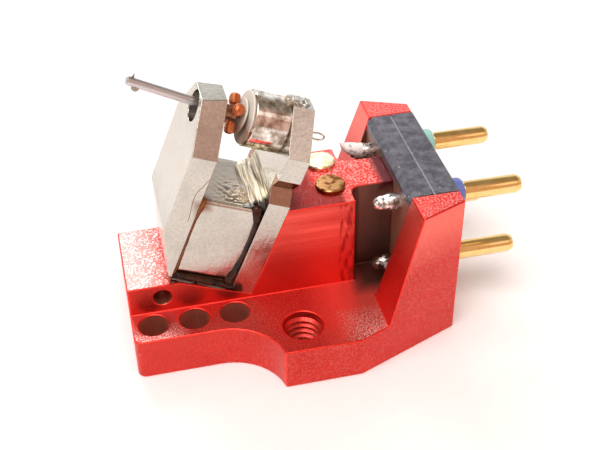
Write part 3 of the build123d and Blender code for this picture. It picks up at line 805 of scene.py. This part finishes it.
def ribbon_rings():
    """Rings across the corner: a hollow arc with wandering sine ridges, whose legs grow along the corner."""
    out = np.linspace(ribbon_near, ribbon_far, ribbon_steps)[:, None]
    part = np.linspace(0, 1, ribbon_around)[None, :]
    wander = 0.5 * np.sin(1.3 * out) + 0.3 * np.sin(3.1 * out)
    hollow = np.pi / 2 * part
    ridge = ridge_rise * np.sin(2 * np.pi * ridge_count * part + wander)
    ease = np.clip((2.5 - out) / 0.6, 0, 1) ** 0.5
    along_leg = (fillet_leg + 0.2 + 0.12 * (1 - out / 2.3)) * ease
    up_leg = (fillet_leg + 0.2 + 0.25 * (1 + out / 2.3)) * ease
    reach = -along_leg * (1 - np.sin(hollow)) - (ridge + 0.06) * ease * np.cos(hollow)
    rise = up_leg * (1 - np.cos(hollow)) + (ridge + 0.06) * ease * np.sin(hollow)
    reach = np.column_stack([reach, np.full(len(out), 0.02)])
    rise = np.column_stack([rise, np.full(len(out), -0.02)])
    return in_motor(reach, rise - magnet_top, out)


def film_rings():
    """Rings along the magnet's top: each a crumpled line of folded sine waves, closed along the underside."""
    reach = np.linspace(film_front, film_rear, film_steps)[:, None]
    out = np.linspace(-film_half, film_half, film_across)[None, :]
    fold = np.abs(np.sin(4.3 * out + 2.6 * reach + 1.2 * np.sin(2.3 * reach)))
    cross_fold = np.abs(np.sin(6.7 * out - 3.4 * reach + 0.8 * np.sin(3.7 * out)))
    heap = np.exp(-((reach + 1.4) / 0.8) ** 2 - ((out + 1.4) / 0.9) ** 2)
    side_fade = np.clip((film_half - np.abs(out)) / film_fade, 0, 1)
    edge = side_fade * np.clip((reach - film_front) / film_fade, 0, 1)
    rise = (0.012 + (0.008 + 0.24 * heap) * (fold + cross_fold) / 2) * edge
    rise = np.column_stack([rise, np.full((film_steps, 2), -0.03)])
    ends = np.full((film_steps, 2), (film_half, -film_half))
    out = np.column_stack([out + 0 * reach, ends])
    return in_motor(reach, rise - magnet_top, out)


def dab_rings(centre, half_sizes, phase):
    """Rings of a squashed ball in the motor's directions, with lumps of two waves round it."""
    turn = np.linspace(0.02, np.pi - 0.02, dab_steps)[:, None]
    around = np.linspace(0, 2 * np.pi, dab_around, endpoint=False)[None, :]
    lumps = 1 + 0.16 * np.sin(3 * around + phase) * np.sin(2 * turn + phase)
    reach = centre[0] + half_sizes[0] * lumps * np.sin(turn) * np.cos(around)
    out = centre[2] + half_sizes[2] * lumps * np.sin(turn) * np.sin(around)
    height = centre[1] + half_sizes[1] * lumps * np.cos(turn) + 0 * around
    return in_motor(reach, height, out)


eased("adhesive_fillet", 0, amber)
skin("glue_ribbon", ribbon_rings(), amber, "cartridge", sharp=70)

# Film: nearly clear and glossy, so that its folds catch the light. The dabs are of the same glue.
# Each dab has its centre and half sizes (rearwards, upwards, sideways), and the turn of its lumps.
film, tree, shader, place = new_finish(
    "thin clear adhesive film", Roughness=0.08, IOR=1.5, Transmission_Weight=0.85, Coat_Weight=1.0
)
age = tinted(tree, shader, place, 0.9, ("#D2BEA6", "#F6EADA"))
wrinkled = add(tree, "ShaderNodeBump", {"Height": age, "Strength": 0.4, "Distance": 0.05 * MM})
tree.links.new(wrinkled.outputs["Normal"], shader.inputs["Normal"])
skin("glue_film", film_rings(), film, "cartridge", sharp=70)
dabs = {
    "pole": ((-0.16, 1.74, -0.1), (0.3, 0.28, 0.42), 0.4),
    "screw_front": ((0.3, 1.84, -0.3), (0.32, 0.16, 0.32), 1.9),
    "screw_rear": ((0.98, 1.84, 0.02), (0.28, 0.15, 0.34), 3.1),
    "foot_front": ((-3.3, -10.62, -2.55), (0.95, 0.1, 0.42), 0.9),
    "foot_rear": ((-1.1, -10.64, -2.6), (1.3, 0.1, 0.4), 2.3),
}
for dab_name, (centre, half_sizes, phase) in dabs.items():
    blob = dab_rings(centre, half_sizes, phase)
    skin(f"glue_dab_{dab_name}", blob, film, "cartridge", sharp=80)

# Pole: a turned soft-iron cylinder, polished bright, with a broken rim at each end.
# Faint rings from the lathe tool run round it, and it is stained in patches.
polished, tree, shader, place = new_finish("polished turned iron", Metallic=1.0)
along_pole = add(tree, "ShaderNodeMapping", {"Vector": place, "Rotation": (0, -motor_tilt, 0)})
lathe_rings = add(
    tree,
    "ShaderNodeTexWave",
    {"Vector": along_pole.outputs["Vector"], "Scale": per(2.0), "Distortion": 0.6, "Detail": 2.0},
    bands_direction="X",
)
tinted(tree, shader, place, 0.5, ("#A08E7E", "#F6F2EC"), 4.0, (0.36, 0.6), (0.05, 0.14))
tool_marks = add(
    tree, "ShaderNodeBump", {"Height": lathe_rings.outputs["Fac"], "Strength": 0.12, "Distance": 0.006 * MM}
)
tree.links.new(tool_marks.outputs["Normal"], shader.inputs["Normal"])
eased("pole", 0.03, polished)

# Set screw, wire holder and suspension wire: bright steel pieces that hold the moving system.
# The slotted screw clamps the holder, and the wire's tail is bent to a small loop behind the yoke.
steel, tree, shader, place = new_finish("bright drawn steel", Metallic=1.0)
wear = tinted(tree, shader, place, 0.25, ("#A9A6A1", "#D9D7D3"), 4.0, rough=(0.16, 0.36))
scuffs = add(tree, "ShaderNodeBump", {"Height": wear, "Strength": 0.5, "Distance": 0.02 * MM})
tree.links.new(scuffs.outputs["Normal"], shader.inputs["Normal"])
eased("set_screw", 0.05, steel)
eased("wire_holder", 0.02, steel)
wire_steps = 140
wire_r = 0.06
yoke_t = 1.4
wire_start = -2.62
loop_points = [
    (wire_start, 0.0), (-1.0, 0.0), (0.6, 0.0), (yoke_t, 0.0), (yoke_t + 0.6, -0.03), (yoke_t + 1.15, 0.01),
    (yoke_t + 1.48, -0.06), (yoke_t + 1.6, -0.21), (yoke_t + 1.48, -0.37), (yoke_t + 1.15, -0.44),
    (yoke_t + 0.6, -0.38), (yoke_t, -0.4),
]
wire_reach, wire_height = curve(loop_points, wire_steps).T
wire_spots = in_motor(wire_reach, wire_height, 0 * wire_reach)
wire_track = np.column_stack([wire_spots, np.full(wire_steps, wire_r)])
wire_rings = tube_rings(wire_track, (0, 1, 0))
skin("suspension_wire_bent", wire_rings, steel, "cartridge", ("suspension_wire",), sharp=80)

# Damper discs: grey rubber rings on the pole's face that hold and damp the moving coils.
# The cut rubber is matt and crumbly, paler above and browner below.
rubber, tree, shader, place = new_finish("grey damper rubber", Roughness=0.6, IOR=1.5)
crumb = add(tree, "ShaderNodeTexNoise", {"Vector": place, "Scale": per(0.16), "Detail": 4.0})
bloom = add(tree, "ShaderNodeTexNoise", {"Vector": place, "Scale": per(0.7), "Detail": 3.0})
disc_level = add(tree, "ShaderNodeSeparateXYZ", {"Vector": place})
paler_above = add(
    tree,
    "ShaderNodeMapRange",
    {"Value": disc_level.outputs["Z"], "From Min": 14.3 * MM, "From Max": 15.2 * MM,
     "To Min": -0.4, "To Max": 0.5},
)
blotched = add(
    tree,
    "ShaderNodeMath",
    {0: paler_above.outputs["Result"], 1: bloom.outputs["Fac"]},
    operation="ADD",
    use_clamp=True,
)
rubber_tone = add(
    tree,
    "ShaderNodeMix",
    {0: blotched.outputs[0], 6: linear("#947662"), 7: linear("#DAD6CC")},
    data_type="RGBA",
)
crumbs = add(
    tree, "ShaderNodeBump", {"Height": crumb.outputs["Fac"], "Strength": 0.6, "Distance": 0.05 * MM}
)
tree.links.new(rubber_tone.outputs[2], shader.inputs["Base Color"])
tree.links.new(crumbs.outputs["Normal"], shader.inputs["Normal"])
eased("damper_rear", 0.03, rubber)
eased("damper_front", 0.03, rubber)

# Coil former: a small cross of soft iron with a socket for the cantilever and a joint pipe inside.
# It is ground metal under a brown lacquer, mostly hidden by the windings.
former_iron, tree, shader, place = new_finish("lacquered former iron", Metallic=0.8)
tinted(tree, shader, place, 0.15, ("#6E4632", "#AE8262"), 4.0, rough=(0.3, 0.5))
eased("coil_former", 0.02, former_iron)
eased("joint_pipe", 0, former_iron)

# Windings: two pairs of coils of enamelled copper wire, one pair on each diagonal of the former.
# Each coil is a rounded bundle of turns that stand up as fine ridges, glossy orange under the enamel.
copper, tree, shader, place = new_finish(
    "enamelled copper wire", Metallic=0.75, Coat_Weight=0.5, Coat_Roughness=0.15
)
tinted(tree, shader, place, 0.14, ("#8E3A16", "#E88646"), rough=(0.25, 0.42))
lateral = next(joint for joint in frame["joints"] if joint["name"] == "lateral_tracking")
pivot = np.array(lateral["pos_m"]) / MM
arm_up = np.array(lateral["axis"])
arm_side = np.array([0.0, -1.0, 0.0])
arm_front = np.cross(arm_side, arm_up)
coil_ahead = 0.64
coil_mid = pivot + arm_front * coil_ahead
coil_t = 0.66
coil_w = 0.74
coil_from = 0.5
coil_to = 1.28
coil_turns = 9
turn_rise = 0.02
turn_steps = 8
coil_around = 48
squareness = 2.4


def coil_rings(angle):
    """Rings outwards along an arm of the former: rounded rectangles whose size ripples once for each turn."""
    outward = arm_side * math.cos(angle) + arm_up * math.sin(angle)
    across = np.cross(outward, arm_front)
    along = np.linspace(0, 1, coil_turns * turn_steps + 1)[:, None]
    around = np.linspace(0, 2 * np.pi, coil_around, endpoint=False)[None, :]
    powers = np.abs(np.cos(around)) ** squareness + np.abs(np.sin(around)) ** squareness
    corner = powers ** (-1 / squareness)
    lay = np.sin(np.pi * (along * coil_turns + around / (2 * np.pi))) ** 2
    crown = np.sqrt(1 - 0.96 * np.abs(2 * along - 1) ** 4)
    size = corner * crown - turn_rise * (1 - lay) / (coil_w / 2)
    front = size * np.cos(around) * coil_t / 2
    side = size * np.sin(around) * coil_w / 2
    reach = coil_from + along * (coil_to - coil_from) + 0 * around
    crosswise = front[..., None] * arm_front + side[..., None] * across
    return coil_mid + crosswise + reach[..., None] * outward


for channel, diagonal in (("left", 45), ("right", 135)):
    for end_name, turn in (("a", 0), ("b", 180)):
        lobe = coil_rings(math.radians(diagonal + turn))
        piece_name = f"winding_{channel}_{end_name}"
        skin(piece_name, lobe, copper, "moving_coil", ("coil_" + channel,), sharp=60)

# Cantilever: a thin drawn rod, satin grey, that carries the stylus at its tip.
# Fine draw marks run along it and break up its shine.
rod_lean = math.radians(27.5)
drawn_rod, tree, shader, place = new_finish("drawn satin rod", Metallic=1.0)
lengthwise = add(
    tree,
    "ShaderNodeMapping",
    {"Vector": place, "Rotation": (0, rod_lean, 0), "Scale": (10.0, 1.0, 1.0)},
    vector_type="TEXTURE",
)
tinted(tree, shader, lengthwise.outputs["Vector"], 0.08, ("#B4B2B4", "#DBD9DA"), rough=(0.26, 0.42))
eased("cantilever", 0.02, drawn_rod)

# Stylus: a cut and polished diamond set through the rod's tip, with a drop of glue behind it.
# The stone is clear but so small that it reads dark; the glue is cloudy.
diamond, tree, shader, place = new_finish(
    "cut diamond", Roughness=0.03, IOR=2.42, Transmission_Weight=0.6
)
tinted(tree, shader, place, 0.1, ("#4A4744", "#77736E"), 2.0)
eased("stylus", 0, diamond)
cloudy_glue, tree, shader, place = new_finish(
    "cloudy cured glue", Roughness=0.22, IOR=1.5, Transmission_Weight=0.3
)
tinted(tree, shader, place, 0.15, ("#8B8379", "#C3BBAF"))
eased("stylus_glue", 0, cloudy_glue)

# Studs: two headed studs, gold plated like the contacts but duller, pressed into the spine's top.
# Their flat heads have a small broken edge, and the near one has darker, browner tones.
stud_tones = {"near": ("#7C4620", "#B88C5C"), "far": ("#E8D298", "#FFF6DA")}
for stud, tones in stud_tones.items():
    dull_gold, tree, shader, place = new_finish(f"dull gold plate, {stud} stud", Metallic=1.0, Roughness=0.24)
    tinted(tree, shader, place, 0.45, tones, 4.0, (0.36, 0.52))
    eased("stud_" + stud, 0.02, dull_gold)

# Floor: a plain white table that the cartridge lies on.
# It is matt, much larger than the object, and a hair below it.
floor_half = 0.6
floor_drop = 0.00003
table_mesh = bpy.data.meshes.new("white_table")
table_signs = [(-1, -1), (1, -1), (1, 1), (-1, 1)]
table_points = [(x * floor_half, y * floor_half, -floor_drop) for x, y in table_signs]
table_mesh.from_pydata(table_points, [], [(0, 1, 2, 3)])
table_top = bpy.data.objects.new("white_table", table_mesh)
bpy.context.scene.collection.objects.link(table_top)
paper, tree, shader, place = new_finish("white paper", Roughness=0.9)
tinted(tree, shader, place, 1.2, ("#F6F6F6", "#FBFBFB"))
table_mesh.materials.append(paper)

# Light: a white room, dim overhead and warm in front, with a key behind that the tops mirror.
# A soft box above fills the shadows, and a weak one at the right lights the slanted faces.
# Each box has its place, width and depth in metres, and its power in watts.
scene = bpy.context.scene
scene.view_settings.view_transform = "Standard"
world = bpy.data.worlds.new("white_room")
world.use_nodes = True
scene.world = world
tree = world.node_tree
sky = tree.nodes["Background"]
direction = add(tree, "ShaderNodeTexCoord").outputs["Generated"]
parts = add(tree, "ShaderNodeSeparateXYZ", {"Vector": direction})
overhead = add(tree, "ShaderNodeMapRange", {"Value": parts.outputs["Z"], "From Min": 0.35, "From Max": 0.6})
ahead = add(tree, "ShaderNodeMapRange", {"Value": parts.outputs["Y"], "From Min": -0.1, "From Max": -0.45})
walls = add(
    tree,
    "ShaderNodeMix",
    {0: overhead.outputs["Result"], 6: linear("#FFFFFF"), 7: linear("#9A8C7E")},
    data_type="RGBA",
)
room = add(
    tree,
    "ShaderNodeMix",
    {0: ahead.outputs["Result"], 6: walls.outputs[2], 7: linear("#DCB2A0")},
    data_type="RGBA",
)
tree.links.new(room.outputs[2], sky.inputs["Color"])
sky.inputs["Strength"].default_value = 1.0

aim = Vector((0, 0, 0.006))
soft_boxes = {
    "key_behind": ((-0.014, 0.192, 0.174), 0.122, 0.08, 0.184),
    "box_above": ((-0.07, -0.08, 0.27), 0.2, 0.2, 0.66),
    "box_right": ((0.198, -0.15, 0.168), 0.09, 0.09, 0.0138),
}
for box_name, (stand, width, depth, power) in soft_boxes.items():
    light = bpy.data.lights.new(box_name, "AREA")
    light.shape = "RECTANGLE"
    light.size = width
    light.size_y = depth
    light.energy = power
    lamp = bpy.data.objects.new(box_name, light)
    lamp.location = stand
    lamp.rotation_euler = (aim - Vector(stand)).to_track_quat("-Z", "Y").to_euler()
    scene.collection.objects.link(lamp)

# Camera: the photograph's viewing angle, close above the near side.
# Its place is a bearing, a height angle, a small roll and a distance from the point it looks at.
bearing = math.radians(-12.73)
height_angle = math.radians(37.8)
roll = math.radians(-0.74)
look_at = Vector((0.72, -2.62, 7.78)) * MM
distance = 65.08 * MM
focal_px = 1051.52
picture_width_px = 600
lens_data = bpy.data.cameras.new("camera")
lens_data.sensor_width = 36
lens_data.lens = lens_data.sensor_width * focal_px / picture_width_px
lens_data.clip_start = 0.002
lens_data.clip_end = 5
backwards = Vector((
    math.sin(bearing) * math.cos(height_angle),
    -math.cos(bearing) * math.cos(height_angle),
    math.sin(height_angle),
))
rightwards = Vector((math.cos(bearing), math.sin(bearing), 0))
camera_up = backwards.cross(rightwards)
right_rolled = rightwards * math.cos(roll) + camera_up * math.sin(roll)
up_rolled = camera_up * math.cos(roll) - rightwards * math.sin(roll)
camera = bpy.data.objects.new("camera", lens_data)
camera.matrix_world = Matrix.Translation(look_at + backwards * distance) @ Matrix(
    (right_rolled, up_rolled, backwards)
).transposed().to_4x4()
scene.collection.objects.link(camera)
scene.camera = camera
